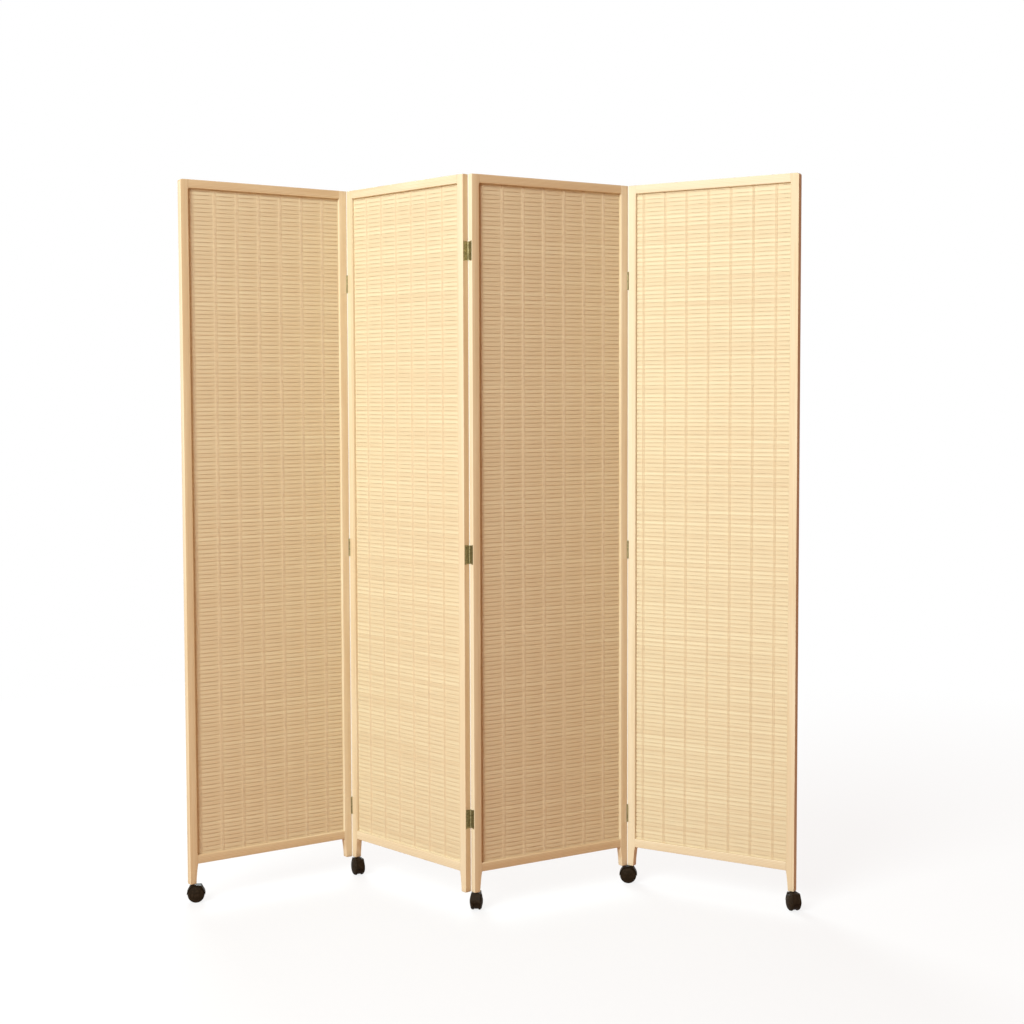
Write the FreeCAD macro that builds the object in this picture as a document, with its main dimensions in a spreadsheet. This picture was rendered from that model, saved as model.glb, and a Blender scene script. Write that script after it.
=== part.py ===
import FreeCAD, Part
import math
import os
import re
import Sketcher

# A four-panel folding screen: slat mats in slim wooden frames, butt hinges, five twin-wheel casters.
# World frame: +X along the screen, left to right seen from the front, -Y to the front, +Z up, floor at z = 0.
# Panel frame: x from the left end face, y from mid-thickness to the back, z from the bottom of the legs.

Vector = FreeCAD.Vector
Placement = FreeCAD.Placement
Rotation = FreeCAD.Rotation
UPRIGHT = Vector(0, 0, 1)

# Driving sizes in millimetres and degrees
SIZES = {
    # Frame
    "panel_width": 453,
    "frame_height": 1700,
    "frame_thickness": 16,
    "stile_width": 21,
    "rail_height": 21,
    "leg_length": 49,
    "leg_taper": 5,
    "leg_chamfer": 2,
    "tenon_length": 11,
    "tenon_thickness": 6,
    "tenon_shoulder": 5,
    # Mat in its groove
    "groove_depth": 5,
    "mat_thickness": 3,
    "mat_clearance": 0.1,
    # How the panels stand
    "first_panel_turn": 35.5,
    "fold_one_two": 96.1,
    "fold_two_three": 98.7,
    "fold_three_four": 114.1,
    # Hinges
    "valley_hinge_from_foot": 134,
    "valley_hinge_from_top": 233,
    "mountain_hinge_from_foot": 177,
    "mountain_hinge_from_top": 178,
    "mountain_middle_drop": 40,
    "knuckle_length": 43,
    "knuckle_radius": 2.2,
    "knuckle_clearance": 0.3,
    "leaf_thickness": 1.2,
    "leaf_clearance": 0.2,
    "leaf_let_in": 1.1,
    "pin_stand_off": 0.3,
    "leaf_margin": 1.5,
    "leaf_flare": 2,
    "hinge_pin_radius": 1.1,
    "hinge_pin_head": 0.8,
    "screw_spacing": 28,
    "screw_head_radius": 2.9,
    "screw_shank_radius": 1.5,
    "screw_point": 3,
    "screw_cover": 4,
    # Casters
    "wheel_radius": 20.5,
    "wheel_rim_width": 8,
    "wheel_edge": 1.5,
    "wheel_shoulder": 6,
    "wheel_dome": 2,
    "wheel_hub_radius": 6,
    "wheel_bore_depth": 8,
    "wheel_gap": 0.5,
    "hood_clearance": 0.6,
    "hood_wall": 1.2,
    "hood_width": 22,
    "hood_flat": 13,
    "caster_trail": 9,
    "axle_radius": 3,
    "core_lift": 2,
    "boss_wall": 2,
    "stem_gap": 2.2,
    "stem_depth": 30,
    "stem_shank_radius": 4,
    "stem_collar_radius": 5,
    "stem_pin_radius": 3,
    "stem_pin_length": 14,
    "swivel_clearance": 0.3,
    "first_caster_turn": 8,
    "second_caster_turn": -65,
    "third_caster_turn": 85,
    "fourth_caster_turn": 175,
    "fifth_caster_turn": -75,
    # Fits, measured on the radius
    "running_clearance": 0.05,
    "seat_clearance": 0.02,
}

doc = FreeCAD.newDocument("partition_screen")
sheet = doc.addObject("Spreadsheet::Sheet", "Sizes")
for row, (alias, value) in enumerate(SIZES.items(), start=1):
    sheet.set("A%d" % row, alias)
    sheet.set("B%d" % row, str(value))
    sheet.setAlias("B%d" % row, alias)
doc.recompute()


def size(alias):
    """A driving size as a number, for placing finished pieces."""
    return float(sheet.get(alias))


def bound(text):
    """An expression on the sheet's cells from a formula written with their plain names."""
    return re.sub(r"\b[a-z]+(?:_[a-z]+)+\b", r"Sizes.\g<0>", text)


# Formulas that several pieces share
LEAF_BACK = "(leaf_thickness + leaf_clearance)"
HALF_GAP = "(leaf_thickness + leaf_clearance - leaf_let_in)"
HINGE_DEPTH = "(pin_stand_off + frame_thickness / 2)"
LEAF_REACH = "(pin_stand_off + frame_thickness - leaf_margin)"
KNUCKLE_ROOM = "(knuckle_radius + knuckle_clearance)"
OWN_KNUCKLE = "((knuckle_length - knuckle_clearance) / 2)"
SCREW_LENGTH = "(stile_width - groove_depth - screw_cover + leaf_thickness - leaf_let_in)"
GROOVE_WIDTH = "(mat_thickness + 2 * mat_clearance)"
BOTTOM_OPENING = "(leg_length + rail_height)"
TOP_OPENING = "(frame_height - rail_height)"
STEM_INSET = "((stile_width - leg_taper) / 2)"
HOOD_INSIDE = "(wheel_radius + hood_clearance)"
HOOD_OUTSIDE = "(wheel_radius + hood_clearance + hood_wall)"
WEB = "(2 * (stem_pin_radius + boss_wall))"
COLLAR_FOOT = "(swivel_clearance - stem_gap)"
HALF_SCREW_SPACING = "screw_spacing / 2"


# Sketches and features

def new_body(name):
    body = doc.addObject("PartDesign::Body", name)
    body.Label = name
    return body


def new_sketch(body, name, plane, offset=None):
    """A sketch on one of the body's own origin planes, moved along the plane's normal by a formula."""
    sketch = body.newObject("Sketcher::SketchObject", name)
    for feature in body.Origin.OriginFeatures:
        if feature.Role == plane:
            sketch.AttachmentSupport = [(feature, "")]
    sketch.MapMode = "FlatFace"
    if offset:
        sketch.setExpression("AttachmentOffset.Base.z", bound(offset))
    return sketch


def dimension(sketch, constraint, formula):
    index = sketch.addConstraint(constraint)
    sketch.setExpression("Constraints[%d]" % index, bound(formula))


def locate(sketch, geometry, vertex, across, up, start):
    """Dimension one point of a sketch from the sketch's origin."""
    dimension(sketch, Sketcher.Constraint("DistanceX", -1, 1, geometry, vertex, start.x), across)
    dimension(sketch, Sketcher.Constraint("DistanceY", -1, 1, geometry, vertex, start.y), up)


def polygon(sketch, corners):
    """A closed straight-sided outline, drawn as a regular one and then pulled to its dimensions."""
    first = sketch.GeometryCount
    count = len(corners)
    turns = [2 * math.pi * (corner + 0.5) / count for corner in range(count)]
    starts = [Vector(math.cos(turn), math.sin(turn), 0) for turn in turns]
    for corner in range(count):
        side = Part.LineSegment(starts[corner], starts[(corner + 1) % count])
        sketch.addGeometry(side, False)
    for corner in range(count):
        after = first + (corner + 1) % count
        sketch.addConstraint(Sketcher.Constraint("Coincident", first + corner, 2, after, 1))
    for corner, (across, up) in enumerate(corners):
        locate(sketch, first + corner, 1, across, up, starts[corner])


def rectangle(sketch, left, low, right, high):
    polygon(sketch, [(left, low), (right, low), (right, high), (left, high)])


def circle(sketch, across, up, radius):
    start = Vector(1, 1, 0)
    index = sketch.addGeometry(Part.Circle(start, UPRIGHT, 1), False)
    locate(sketch, index, 3, across, up, start)
    dimension(sketch, Sketcher.Constraint("Radius", index, 1), radius)


def half_disc(sketch, radius):
    """The upper half of a disc round the sketch's origin."""
    arc = sketch.addGeometry(Part.ArcOfCircle(Part.Circle(Vector(), UPRIGHT, 1), 0, math.pi), False)
    base = sketch.addGeometry(Part.LineSegment(Vector(-1, 0, 0), Vector(1, 0, 0)), False)
    sketch.addConstraint(Sketcher.Constraint("Coincident", arc, 3, -1, 1))
    sketch.addConstraint(Sketcher.Constraint("Coincident", arc, 2, base, 1))
    sketch.addConstraint(Sketcher.Constraint("Coincident", arc, 1, base, 2))
    sketch.addConstraint(Sketcher.Constraint("PointOnObject", base, 1, -1))
    sketch.addConstraint(Sketcher.Constraint("PointOnObject", base, 2, -1))
    dimension(sketch, Sketcher.Constraint("Radius", arc, 1), radius)


def extrude(body, kind, name, sketch, length, symmetric=True, backwards=False):
    """A Pad or a Pocket from a sketch, to both sides of it or to one."""
    feature = body.newObject("PartDesign::" + kind, name)
    feature.Profile = sketch
    feature.SideType = "Symmetric" if symmetric else "One side"
    feature.Reversed = backwards
    feature.setExpression("Length", bound(length))
    return feature


def turned(name, profile):
    """A body of revolution about its own z axis, from (radius, height) corners."""
    body = new_body(name)
    sketch = new_sketch(body, name + "_profile", "XZ_Plane")
    polygon(sketch, profile)
    feature = body.newObject("PartDesign::Revolution", name + "_turned")
    feature.Profile = sketch
    feature.ReferenceAxis = (sketch, ["V_Axis"])
    feature.Angle = 360
    return body


# Where things stand

VALLEY, MOUNTAIN = "valley", "mountain"
JOINTS = {(1, 2): VALLEY, (2, 3): MOUNTAIN, (3, 4): VALLEY}
PANELS = (1, 2, 3, 4)
CASTERS = ((1, "left"), (2, "left"), (3, "left"), (4, "left"), (4, "right"))
CASTER_TURNS = ("first", "second", "third", "fourth", "fifth")
HINGES = {
    VALLEY: (
        "valley_hinge_from_foot",
        "(valley_hinge_from_foot + frame_height - valley_hinge_from_top) / 2",
        "frame_height - valley_hinge_from_top",
    ),
    MOUNTAIN: (
        "mountain_hinge_from_foot",
        "(mountain_hinge_from_foot + frame_height - mountain_hinge_from_top) / 2 - mountain_middle_drop",
        "frame_height - mountain_hinge_from_top",
    ),
}
half_gap = size("leaf_thickness") + size("leaf_clearance") - size("leaf_let_in")
half_depth = size("frame_thickness") / 2
pin_depth = half_depth + size("pin_stand_off")
hood_outside = size("wheel_radius") + size("hood_clearance") + size("hood_wall")
caster_height = size("wheel_radius") + hood_outside + size("stem_gap")


def hinge_heights(kind):
    """The heights of a joint's three hinge centres above the bottom of the legs."""
    from_foot = size(kind + "_hinge_from_foot")
    top = size("frame_height") - size(kind + "_hinge_from_top")
    drop = size("mountain_middle_drop") if kind == MOUNTAIN else 0
    return from_foot, (from_foot + top) / 2 - drop, top


def panel_turns():
    """Each panel's turn about the vertical, from the angles between neighbours."""
    turns = [size("first_panel_turn")]
    for (left, right), fold in zip(JOINTS, ("fold_one_two", "fold_two_three", "fold_three_four")):
        step = 180 - size(fold)
        turns.append(turns[-1] - step if JOINTS[left, right] == VALLEY else turns[-1] + step)
    return dict(zip(PANELS, turns))


def pin_line(kind, side):
    """A joint's pin line in the frame of the panel on its left or on its right."""
    across = size("panel_width") + half_gap if side == "right" else -half_gap
    return Vector(across, -pin_depth if kind == VALLEY else pin_depth, 0)


def panel_placements():
    """The four panels chained from pin line to pin line."""
    turns = panel_turns()
    base = Vector(0, 0, caster_height)
    placed = {1: Placement(base, Rotation(UPRIGHT, turns[1]))}
    for (left, right), kind in JOINTS.items():
        pin = placed[left].multVec(pin_line(kind, "right"))
        turn = Rotation(UPRIGHT, turns[right])
        placed[right] = Placement(pin - turn.multVec(pin_line(kind, "left")), turn)
    return placed


TURNS = panel_turns()
STANDING = panel_placements()


def joint_at(panel, side):
    """The kind of joint at one end of a panel, or None at the screen's own ends."""
    pair = (panel, panel + 1) if side == "right" else (panel - 1, panel)
    return JOINTS.get(pair)


# Frame pieces and mats

def from_end(side, distance):
    """A formula for a distance measured inwards from a panel's left or right end face."""
    return distance if side == "left" else "panel_width - (%s)" % distance


MORTISES = (
    ("leg_length + tenon_shoulder", BOTTOM_OPENING + " - groove_depth"),
    (TOP_OPENING + " + groove_depth", "frame_height - tenon_shoulder"),
)
# The rooms cut for each hinge: a name, the reach from the pin line, half the height and the depth
HINGE_CUTS = (
    ("leaf", "(%s + seat_clearance)" % LEAF_REACH, "(knuckle_length / 2 + leaf_flare + seat_clearance)",
     "leaf_let_in"),
    ("knuckle", KNUCKLE_ROOM, "(knuckle_length / 2 + hinge_pin_head + knuckle_clearance)",
     KNUCKLE_ROOM + " - " + HALF_GAP),
)


def make_stile(panel, side):
    name = "panel_%d_stile_%s" % (panel, side)
    body = new_body(name)
    outline = new_sketch(body, name + "_outline", "XZ_Plane")
    inner = from_end(side, "stile_width")
    outer = from_end(side, "0")
    foot = from_end(side, "stile_width - leg_taper")
    top = "frame_height"
    corners = [(outer, "0"), (foot, "0"), (inner, "leg_length"), (inner, top), (outer, top)]
    polygon(outline, corners)
    blank = extrude(body, "Pad", name + "_blank", outline, "frame_thickness")
    doc.recompute()

    sole = [
        "Edge%d" % (index + 1)
        for index, edge in enumerate(blank.Shape.Edges)
        if edge.BoundBox.ZMax < size("leg_chamfer") / 2
    ]
    chamfer = body.newObject("PartDesign::Chamfer", name + "_foot")
    chamfer.Base = (blank, sole)
    chamfer.setExpression("Size", bound("leg_chamfer"))

    mortises = new_sketch(body, name + "_mortises", "XZ_Plane")
    for low, high in MORTISES:
        rectangle(mortises, from_end(side, "stile_width - tenon_length"), low, inner, high)
    extrude(body, "Pocket", name + "_mortise_cut", mortises, "tenon_thickness")

    groove = new_sketch(body, name + "_groove", "XZ_Plane")
    low = BOTTOM_OPENING + " - groove_depth"
    high = TOP_OPENING + " + groove_depth"
    rectangle(groove, from_end(side, "stile_width - groove_depth"), low, inner, high)
    extrude(body, "Pocket", name + "_groove_cut", groove, GROOVE_WIDTH)

    kind = joint_at(panel, side)
    if kind:
        inwards = side == "left"
        for word, room, half_length, depth in HINGE_CUTS:
            cut = new_sketch(body, name + "_%s_room" % word, "YZ_Plane", outer)
            near, far = "-" + HINGE_DEPTH, "%s - %s" % (room, HINGE_DEPTH)
            if kind == MOUNTAIN:
                near, far = "%s - %s" % (HINGE_DEPTH, room), HINGE_DEPTH
            for height in HINGES[kind]:
                low, high = ("%s %s %s" % (height, sign, half_length) for sign in "-+")
                rectangle(cut, near, low, far, high)
            extrude(body, "Pocket", name + "_%s_cut" % word, cut, depth, symmetric=False, backwards=inwards)

        holes = new_sketch(body, name + "_screw_holes", "YZ_Plane", outer)
        for height in HINGES[kind]:
            for sign in ("-", "+"):
                up = "%s %s %s" % (height, sign, HALF_SCREW_SPACING)
                circle(holes, "0", up, "screw_shank_radius + seat_clearance")
        depth = SCREW_LENGTH + " - leaf_thickness + leaf_let_in + seat_clearance"
        extrude(body, "Pocket", name + "_screw_cut", holes, depth, symmetric=False, backwards=inwards)

    if (panel, side) in CASTERS:
        bore = new_sketch(body, name + "_stem_bore", "XY_Plane")
        circle(bore, from_end(side, STEM_INSET), "0", "stem_shank_radius + seat_clearance")
        extrude(body, "Pocket", name + "_stem_cut", bore, "stem_depth", symmetric=False, backwards=True)
    body.Placement = STANDING[panel]
    return body


def make_rail(panel, level):
    name = "panel_%d_rail_%s" % (panel, level)
    body = new_body(name)
    if level == "bottom":
        low, high = "leg_length", BOTTOM_OPENING
        groove_low, groove_high = BOTTOM_OPENING + " - groove_depth", BOTTOM_OPENING
        tenon_low, tenon_high = MORTISES[0]
    else:
        low, high = TOP_OPENING, "frame_height"
        groove_low, groove_high = TOP_OPENING, TOP_OPENING + " + groove_depth"
        tenon_low, tenon_high = MORTISES[1]
    left, right = from_end("left", "stile_width"), from_end("right", "stile_width")
    outline = new_sketch(body, name + "_outline", "XZ_Plane")
    rectangle(outline, left, low, right, high)
    extrude(body, "Pad", name + "_blank", outline, "frame_thickness")

    tenons = new_sketch(body, name + "_tenons", "XZ_Plane")
    reach = "stile_width - tenon_length"
    rectangle(tenons, from_end("left", reach), tenon_low, from_end("right", reach), tenon_high)
    extrude(body, "Pad", name + "_tenon_bar", tenons, "tenon_thickness")

    groove = new_sketch(body, name + "_groove", "XZ_Plane")
    rectangle(groove, left, groove_low, right, groove_high)
    extrude(body, "Pocket", name + "_groove_cut", groove, GROOVE_WIDTH)
    body.Placement = STANDING[panel]
    return body


def make_mat(panel):
    name = "panel_%d_mat" % panel
    body = new_body(name)
    outline = new_sketch(body, name + "_outline", "XZ_Plane")
    edge = "stile_width - groove_depth + mat_clearance"
    low = BOTTOM_OPENING + " - groove_depth + mat_clearance"
    high = TOP_OPENING + " + groove_depth - mat_clearance"
    rectangle(outline, from_end("left", edge), low, from_end("right", edge), high)
    extrude(body, "Pad", name + "_sheet", outline, "mat_thickness")
    body.Placement = STANDING[panel]
    return body


# Hinge pieces: leaf frame x out of the stile's end face, y from the pin into the end face, z along the pin

def make_leaf():
    body = new_body("hinge_leaf")
    plate = new_sketch(body, "leaf_plate", "YZ_Plane", "-" + LEAF_BACK)
    far = LEAF_REACH
    notch = KNUCKLE_ROOM
    corners = [
        ("0", "0"),
        (notch, "0"),
        (far, "-leaf_flare"),
        (far, "knuckle_length + leaf_flare"),
        (notch, "knuckle_length"),
        (notch, OWN_KNUCKLE),
        ("0", OWN_KNUCKLE),
    ]
    polygon(plate, corners)
    extrude(body, "Pad", "leaf_sheet", plate, "leaf_thickness", symmetric=False)

    barrel = new_sketch(body, "leaf_barrel", "XY_Plane")
    circle(barrel, "0", "0", "knuckle_radius")
    extrude(body, "Pad", "leaf_knuckle", barrel, OWN_KNUCKLE, symmetric=False)

    bore = new_sketch(body, "leaf_bore", "XY_Plane")
    circle(bore, "0", "0", "hinge_pin_radius + running_clearance")
    extrude(body, "Pocket", "leaf_bore_cut", bore, "knuckle_length", symmetric=False, backwards=True)

    for word, sign in (("lower", "-"), ("upper", "+")):
        seat = body.newObject("PartDesign::SubtractiveCone", "leaf_%s_countersink" % word)
        seat.setExpression("Radius1", bound("screw_shank_radius + seat_clearance"))
        seat.setExpression("Radius2", bound("screw_head_radius + seat_clearance"))
        seat.setExpression("Height", bound("leaf_thickness"))
        seat.Placement = Placement(Vector(), Rotation(Vector(0, 1, 0), 90))
        seat.setExpression("Placement.Base.x", bound("-" + LEAF_BACK))
        seat.setExpression("Placement.Base.y", bound(HINGE_DEPTH))
        seat.setExpression("Placement.Base.z", bound("knuckle_length / 2 %s %s" % (sign, HALF_SCREW_SPACING)))
    return body


def make_hinge_pin():
    low, high = "-running_clearance", "knuckle_length + running_clearance"
    profile = [
        ("0", low + " - hinge_pin_head"),
        ("knuckle_radius", low + " - hinge_pin_head"),
        ("knuckle_radius", low),
        ("hinge_pin_radius", low),
        ("hinge_pin_radius", high),
        ("knuckle_radius", high),
        ("knuckle_radius", high + " + hinge_pin_head"),
        ("0", high + " + hinge_pin_head"),
    ]
    return turned("hinge_pin", profile)


def make_screw():
    profile = [
        ("0", "0"),
        ("screw_head_radius", "0"),
        ("screw_shank_radius", "-leaf_thickness"),
        ("screw_shank_radius", "screw_point - " + SCREW_LENGTH),
        ("0", "-" + SCREW_LENGTH),
    ]
    return turned("hinge_screw", profile)


# The turn that brings the leaf onto a panel's end: the same leaf serves all four, two of them upside down
LEAF_TURNS = {
    (VALLEY, "right"): Rotation(),
    (VALLEY, "left"): Rotation(Vector(0, 1, 0), 180),
    (MOUNTAIN, "right"): Rotation(Vector(1, 0, 0), 180),
    (MOUNTAIN, "left"): Rotation(UPRIGHT, 180),
}
UPSIDE_DOWN = ((VALLEY, "left"), (MOUNTAIN, "right"))


def leaf_placements(panel, side):
    kind = joint_at(panel, side)
    turn = LEAF_TURNS[kind, side]
    half_length = size("knuckle_length") / 2
    offset = half_length if (kind, side) in UPSIDE_DOWN else -half_length
    places = []
    for height in hinge_heights(kind):
        base = pin_line(kind, side) + Vector(0, 0, height + offset)
        places.append(STANDING[panel].multiply(Placement(base, turn)))
    return places


def pin_placements(left):
    kind = JOINTS[left, left + 1]
    places = []
    for height in hinge_heights(kind):
        base = pin_line(kind, "right") + Vector(0, 0, height - size("knuckle_length") / 2)
        places.append(STANDING[left].multiply(Placement(base, Rotation())))
    return places


def screw_placements(panel):
    outwards = Rotation(Vector(0, 1, 0), 90)
    places = []
    for side in ("left", "right"):
        if not joint_at(panel, side):
            continue
        for leaf in leaf_placements(panel, side):
            for step in (-0.5, 0.5):
                height = size("knuckle_length") / 2 + step * size("screw_spacing")
                seat = Vector(-size("leaf_clearance"), pin_depth, height)
                places.append(leaf.multiply(Placement(seat, outwards)))
    return places


# Caster pieces: hood frame x backwards along the trail, y along the axle, z up, origin at the axle's middle

def make_hood():
    body = new_body("caster_hood")
    cover = new_sketch(body, "hood_cover", "XZ_Plane")
    half_disc(cover, HOOD_OUTSIDE)
    extrude(body, "Pad", "hood_cover_block", cover, "hood_width")

    crown = new_sketch(body, "hood_crown", "XZ_Plane")
    lean = "(2 * atan(hood_flat / %s))" % HOOD_OUTSIDE
    reach = "%s * sin(%s)" % (HOOD_OUTSIDE, lean)
    level = "%s * cos(%s)" % (HOOD_OUTSIDE, lean)
    top = [("-hood_flat", HOOD_OUTSIDE), ("-" + reach, level), (reach, level), ("hood_flat", HOOD_OUTSIDE)]
    polygon(crown, top)
    extrude(body, "Pad", "hood_crown_block", crown, "hood_width")

    hollow = new_sketch(body, "hood_hollow", "XZ_Plane")
    circle(hollow, "0", "0", HOOD_INSIDE)
    extrude(body, "Pocket", "hood_hollow_cut", hollow, "hood_width")

    web = new_sketch(body, "hood_web", "XZ_Plane")
    half_disc(web, HOOD_INSIDE + " + hood_wall / 2")
    extrude(body, "Pad", "hood_web_plate", web, WEB)

    core = new_sketch(body, "hood_core", "XZ_Plane")
    circle(core, "0", "0", "wheel_radius - core_lift")
    extrude(body, "Pad", "hood_core_plate", core, WEB)

    stem_boss = new_sketch(body, "hood_stem_boss", "XY_Plane")
    circle(stem_boss, "-caster_trail", "0", "stem_pin_radius + boss_wall")
    extrude(body, "Pad", "hood_stem_block", stem_boss, HOOD_OUTSIDE, symmetric=False)

    axle_bore = new_sketch(body, "hood_axle_bore", "XZ_Plane")
    circle(axle_bore, "0", "0", "axle_radius + seat_clearance")
    extrude(body, "Pocket", "hood_axle_cut", axle_bore, WEB)

    socket = new_sketch(body, "hood_socket", "XY_Plane", HOOD_OUTSIDE)
    circle(socket, "-caster_trail", "0", "stem_pin_radius + running_clearance")
    extrude(body, "Pocket", "hood_socket_cut", socket, "stem_pin_length", symmetric=False)
    return body


SHOULDER_TURNS = (0, 30, 60, 90)


def make_wheel():
    bore = "axle_radius + running_clearance"
    shoulder = [
        ("wheel_radius - wheel_shoulder * (1 - cos(%d deg))" % turn,
         "wheel_rim_width - wheel_shoulder * (1 - sin(%d deg))" % turn)
        for turn in SHOULDER_TURNS
    ]
    profile = [
        (bore, "0"),
        ("wheel_radius - wheel_edge", "0"),
        ("wheel_radius", "wheel_edge"),
        *shoulder,
        ("wheel_hub_radius", "wheel_rim_width + wheel_dome"),
        ("0", "wheel_rim_width + wheel_dome"),
        ("0", "wheel_bore_depth"),
        (bore, "wheel_bore_depth"),
    ]
    return turned("caster_wheel", profile)


def make_axle():
    reach = "%s / 2 + wheel_gap + wheel_bore_depth - swivel_clearance" % WEB
    profile = [("0", "-(%s)" % reach), ("axle_radius", "-(%s)" % reach), ("axle_radius", reach), ("0", reach)]
    return turned("caster_axle", profile)


def make_stem():
    pin_foot = COLLAR_FOOT + " - stem_pin_length"
    profile = [
        ("0", "stem_depth"),
        ("0", pin_foot),
        ("stem_pin_radius", pin_foot),
        ("stem_pin_radius", COLLAR_FOOT),
        ("stem_collar_radius", COLLAR_FOOT),
        ("stem_collar_radius", "0"),
        ("stem_shank_radius", "0"),
        ("stem_shank_radius", "stem_depth"),
    ]
    return turned("caster_stem", profile)


def caster_placements(number):
    """Where each of a caster's pieces goes, by the last word of its name."""
    panel, side = CASTERS[number - 1]
    inset = (size("stile_width") - size("leg_taper")) / 2
    across = inset if side == "left" else size("panel_width") - inset
    turn = size(CASTER_TURNS[number - 1] + "_caster_turn") - TURNS[panel]
    stem = STANDING[panel].multiply(Placement(Vector(across, 0, 0), Rotation(UPRIGHT, turn)))
    drop = Vector(size("caster_trail"), 0, -size("stem_gap") - hood_outside)
    hood = stem.multiply(Placement(drop, Rotation()))
    inner_face = size("stem_pin_radius") + size("boss_wall") + size("wheel_gap")
    to_left = Rotation(Vector(1, 0, 0), -90)
    to_right = Rotation(Vector(1, 0, 0), 90)
    return {
        "stem": stem,
        "hood": hood,
        "axle": hood.multiply(Placement(Vector(), to_left)),
        "wheel_left": hood.multiply(Placement(Vector(0, inner_face, 0), to_left)),
        "wheel_right": hood.multiply(Placement(Vector(0, -inner_face, 0), to_right)),
    }


# Assembly

def copy_of(pattern, name, place):
    """A placed copy of a repeated piece."""
    link = doc.addObject("App::Link", name)
    link.LinkedObject = pattern
    link.Label = name
    link.Placement = place
    return link


def group_of(pattern, name, places):
    """Identical pieces that share one node."""
    group = doc.addObject("Part::Compound", name)
    group.Label = name
    numbered = enumerate(places, start=1)
    group.Links = [copy_of(pattern, "%s_%d" % (name, number), place) for number, place in numbered]
    return group


nodes = []
for panel in PANELS:
    for side in ("left", "right"):
        nodes.append(make_stile(panel, side))
    for level in ("top", "bottom"):
        nodes.append(make_rail(panel, level))
    nodes.append(make_mat(panel))

leaf = make_leaf()
hinge_pin = make_hinge_pin()
screw = make_screw()
for left, right in JOINTS:
    hinge = "hinge_%d_%d" % (left, right)
    nodes.append(group_of(leaf, hinge + "_leaves_left", leaf_placements(left, "right")))
    nodes.append(group_of(leaf, hinge + "_leaves_right", leaf_placements(right, "left")))
    nodes.append(group_of(hinge_pin, hinge + "_pins", pin_placements(left)))
for panel in PANELS:
    nodes.append(group_of(screw, "hinge_screws_panel_%d" % panel, screw_placements(panel)))

patterns = {"stem": make_stem(), "hood": make_hood(), "axle": make_axle()}
patterns["wheel_left"] = patterns["wheel_right"] = make_wheel()
for number in range(1, len(CASTERS) + 1):
    for piece, place in caster_placements(number).items():
        nodes.append(copy_of(patterns[piece], "caster_%d_%s" % (number, piece), place))
doc.recompute()

# The origin goes to the middle of the plan, on the floor
whole = FreeCAD.BoundBox()
for node in nodes:
    whole.add(Part.getShape(node).optimalBoundingBox(False))
middle = Vector(whole.Center.x, whole.Center.y, 0)
for node in nodes:
    node.Placement = Placement(node.Placement.Base - middle, node.Placement.Rotation)
doc.recompute()

# Nothing is written unless every piece is sound
for item in doc.Objects:
    if "Invalid" in item.State or "Error" in item.State:
        raise RuntimeError("%s failed: %s" % (item.Label, item.State))
shapes = {}
for node in nodes:
    shape = Part.getShape(node)
    if shape.isNull() or not shape.isValid():
        raise RuntimeError("%s has no sound shape" % node.Label)
    shapes[node.Label] = shape
os.makedirs("parts", exist_ok=True)
for name, shape in shapes.items():
    shape.exportStep(os.path.join("parts", name + ".step"))

# The lines that the panels and casters turn about
for left, right in JOINTS:
    pin = STANDING[left].multVec(pin_line(JOINTS[left, right], "right")) - middle
    print("fold_%d_%d pin at x %.4f y %.4f" % (left, right, pin.x, pin.y))
for number in range(1, len(CASTERS) + 1):
    places = caster_placements(number)
    stem, hood = places["stem"].Base - middle, places["hood"].Base - middle
    axis = places["hood"].Rotation.multVec(Vector(0, 1, 0))
    print("caster_%d stem at x %.4f y %.4f z %.4f" % (number, stem.x, stem.y, stem.z))
    print("caster_%d axle at x %.4f y %.4f z %.4f" % (number, hood.x, hood.y, hood.z))
    print("caster_%d axis x %.6f y %.6f" % (number, axis.x, axis.y))
print("box x %.3f to %.3f" % (whole.XMin - middle.x, whole.XMax - middle.x))
print("box y %.3f to %.3f" % (whole.YMin - middle.y, whole.YMax - middle.y))
print("box z %.3f to %.3f" % (whole.ZMin, whole.ZMax))
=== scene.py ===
import math

import bpy
import numpy as np
from mathutils import Matrix


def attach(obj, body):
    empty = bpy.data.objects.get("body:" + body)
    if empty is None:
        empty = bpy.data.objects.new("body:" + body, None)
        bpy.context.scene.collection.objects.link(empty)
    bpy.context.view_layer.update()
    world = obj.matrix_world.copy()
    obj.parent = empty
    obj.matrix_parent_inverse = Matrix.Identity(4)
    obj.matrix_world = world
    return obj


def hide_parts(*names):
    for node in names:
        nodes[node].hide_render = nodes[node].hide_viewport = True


# A four-panel folding screen: slat mats in light wooden frames, brass butt hinges, dark twin-wheel casters.
# Row frame in metres: +X along the screen, -Y to the front, +Z up, floor at z = 0.
# Panel frame: u from the left end face, v from mid-thickness to the back, w from the bottom of the legs.

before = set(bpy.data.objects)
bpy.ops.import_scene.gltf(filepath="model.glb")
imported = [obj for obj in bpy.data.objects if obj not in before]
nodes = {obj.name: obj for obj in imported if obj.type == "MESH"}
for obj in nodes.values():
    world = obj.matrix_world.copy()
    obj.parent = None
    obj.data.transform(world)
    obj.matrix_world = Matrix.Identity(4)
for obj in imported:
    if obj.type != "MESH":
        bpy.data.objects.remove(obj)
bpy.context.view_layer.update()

SEED = 20
MM = 0.001
PANELS = (1, 2, 3, 4)
rng = np.random.default_rng(SEED)


# Shader helpers

def add(tree, kind, inputs=None, **settings):
    """A shader node with its settings, and its inputs as values or as links from other nodes' sockets."""
    made = tree.nodes.new(kind)
    for key, value in settings.items():
        setattr(made, key, value)
    for key, value in (inputs or {}).items():
        if isinstance(value, bpy.types.NodeSocket):
            tree.links.new(value, made.inputs[key])
        else:
            made.inputs[key].default_value = value
    return made


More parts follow.
